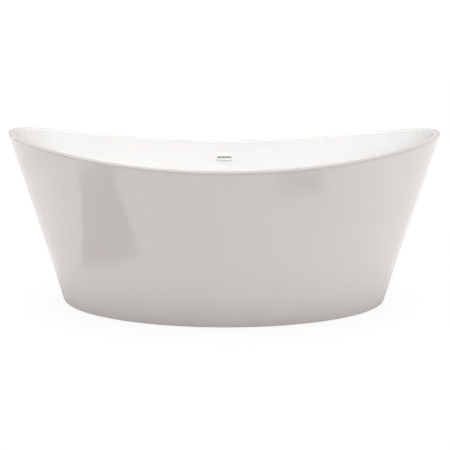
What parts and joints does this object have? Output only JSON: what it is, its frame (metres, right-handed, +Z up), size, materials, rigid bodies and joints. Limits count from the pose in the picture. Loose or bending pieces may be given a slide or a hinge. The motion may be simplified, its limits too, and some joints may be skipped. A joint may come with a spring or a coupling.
{
  "type": "freestanding bathtub",
  "caption": "Oval double-ended freestanding bathtub with upswept ends, a plain outer skirt, levelling feet, a slotted overflow and a pop-up drain.",
  "frame": {"origin": "on the floor, straight below the middle of the drain", "axes": "+X along the tub, +Y across it towards the overflow side, +Z up"},
  "size_m": [1.6953, 0.7975, 0.7176],
  "materials": {
    "tub_acrylic": "high gloss white acrylic",
    "skirt_acrylic": "high gloss white acrylic",
    "overflow_white": "gloss white",
    "drain_white_metal": "gloss white enamel",
    "base_board": "raw chipboard",
    "frame_steel": "galvanised",
    "zinc_steel": "zinc plated",
    "black_plastic": "moulded, fine grain",
    "black_rubber": "matt",
    "waste_plastic": "satin",
    "hose_grey": "satin",
    "stem_brass": "turned"
  },
  "bodies": {
    "tub": {"basin": "tub_acrylic", "board_screws": "zinc_steel", "bracket_bolts": "zinc_steel", "drain_body": "drain_white_metal", "drain_flange_gasket": "black_rubber", "drain_locknut": "waste_plastic", "drain_lower_washer": "black_rubber", "drain_tee": "waste_plastic", "floor_board": "base_board", "foot_weld_nuts": "zinc_steel", "frame_crossbar_left": "frame_steel", "frame_crossbar_right": "frame_steel", "frame_rail_back": "frame_steel", "frame_rail_front": "frame_steel", "hose_clamp_bottom": "zinc_steel", "hose_clamp_top": "zinc_steel", "overflow_base": "overflow_white", "overflow_base_gasket": "black_rubber", "overflow_cover": "overflow_white", "overflow_gasket": "black_rubber", "overflow_hose": "hose_grey", "overflow_housing": "waste_plastic", "overflow_screws": "zinc_steel", "plug_cartridge": "waste_plastic", "rail_end_caps": "black_plastic", "skirt": "skirt_acrylic", "skirt_bracket_back_left": "frame_steel", "skirt_bracket_back_right": "frame_steel", "skirt_bracket_front_left": "frame_steel", "skirt_bracket_front_right": "frame_steel", "skirt_rivets": "zinc_steel", "tailpiece": "waste_plastic", "tailpiece_nut": "waste_plastic", "tailpiece_washer": "black_rubber"},
    "drain_plug": {"plug_cap": "drain_white_metal", "plug_seal": "black_rubber", "plug_stem": "stem_brass"},
    "foot_front_left": {"foot_pad_front_left": "black_plastic"},
    "foot_screw_front_left": {"foot_stem_front_left": "zinc_steel"},
    "lock_nut_front_left": {"foot_locknut_front_left": "zinc_steel"},
    "foot_front_right": {"foot_pad_front_right": "black_plastic"},
    "foot_screw_front_right": {"foot_stem_front_right": "zinc_steel"},
    "lock_nut_front_right": {"foot_locknut_front_right": "zinc_steel"},
    "foot_back_left": {"foot_pad_back_left": "black_plastic"},
    "foot_screw_back_left": {"foot_stem_back_left": "zinc_steel"},
    "lock_nut_back_left": {"foot_locknut_back_left": "zinc_steel"},
    "foot_back_right": {"foot_pad_back_right": "black_plastic"},
    "foot_screw_back_right": {"foot_stem_back_right": "zinc_steel"},
    "lock_nut_back_right": {"foot_locknut_back_right": "zinc_steel"}
  },
  "joints": [
    {"name": "drain_plug_lift", "type": "slide", "parent": "tub", "child": "drain_plug", "axis": [0, 0, 1], "range_m": [0, 0.009]},
    {"name": "foot_front_left_height", "type": "slide", "parent": "tub", "child": "foot_front_left", "axis": [0, 0, 1], "range_m": [-0.02, 0]},
    {"name": "foot_front_left_turn", "type": "hinge", "parent": "foot_front_left", "child": "foot_screw_front_left", "pos_m": [-0.4, -0.15, 0.05], "axis": [0, 0, 1], "range_deg": [-4120, 0]},
    {"name": "lock_nut_front_left_slide", "type": "slide", "parent": "tub", "child": "lock_nut_front_left", "axis": [0, 0, 1], "range_m": [-0.01, 0]},
    {"name": "foot_front_right_height", "type": "slide", "parent": "tub", "child": "foot_front_right", "axis": [0, 0, 1], "range_m": [-0.02, 0]},
    {"name": "foot_front_right_turn", "type": "hinge", "parent": "foot_front_right", "child": "foot_screw_front_right", "pos_m": [0.4, -0.15, 0.05], "axis": [0, 0, 1], "range_deg": [-4120, 0]},
    {"name": "lock_nut_front_right_slide", "type": "slide", "parent": "tub", "child": "lock_nut_front_right", "axis": [0, 0, 1], "range_m": [-0.01, 0]},
    {"name": "foot_back_left_height", "type": "slide", "parent": "tub", "child": "foot_back_left", "axis": [0, 0, 1], "range_m": [-0.02, 0]},
    {"name": "foot_back_left_turn", "type": "hinge", "parent": "foot_back_left", "child": "foot_screw_back_left", "pos_m": [-0.4, 0.15, 0.05], "axis": [0, 0, 1], "range_deg": [-4120, 0]},
    {"name": "lock_nut_back_left_slide", "type": "slide", "parent": "tub", "child": "lock_nut_back_left", "axis": [0, 0, 1], "range_m": [-0.01, 0]},
    {"name": "foot_back_right_height", "type": "slide", "parent": "tub", "child": "foot_back_right", "axis": [0, 0, 1], "range_m": [-0.02, 0]},
    {"name": "foot_back_right_turn", "type": "hinge", "parent": "foot_back_right", "child": "foot_screw_back_right", "pos_m": [0.4, 0.15, 0.05], "axis": [0, 0, 1], "range_deg": [-4120, 0]},
    {"name": "lock_nut_back_right_slide", "type": "slide", "parent": "tub", "child": "lock_nut_back_right", "axis": [0, 0, 1], "range_m": [-0.01, 0]}
  ],
  "couplings": [
    {"joint": "foot_front_left_turn", "follows": "foot_front_left_height", "rad_per_m": 3590.4},
    {"joint": "foot_front_right_turn", "follows": "foot_front_right_height", "rad_per_m": 3590.4},
    {"joint": "foot_back_left_turn", "follows": "foot_back_left_height", "rad_per_m": 3590.4},
    {"joint": "foot_back_right_turn", "follows": "foot_back_right_height", "rad_per_m": 3590.4}
  ]
}
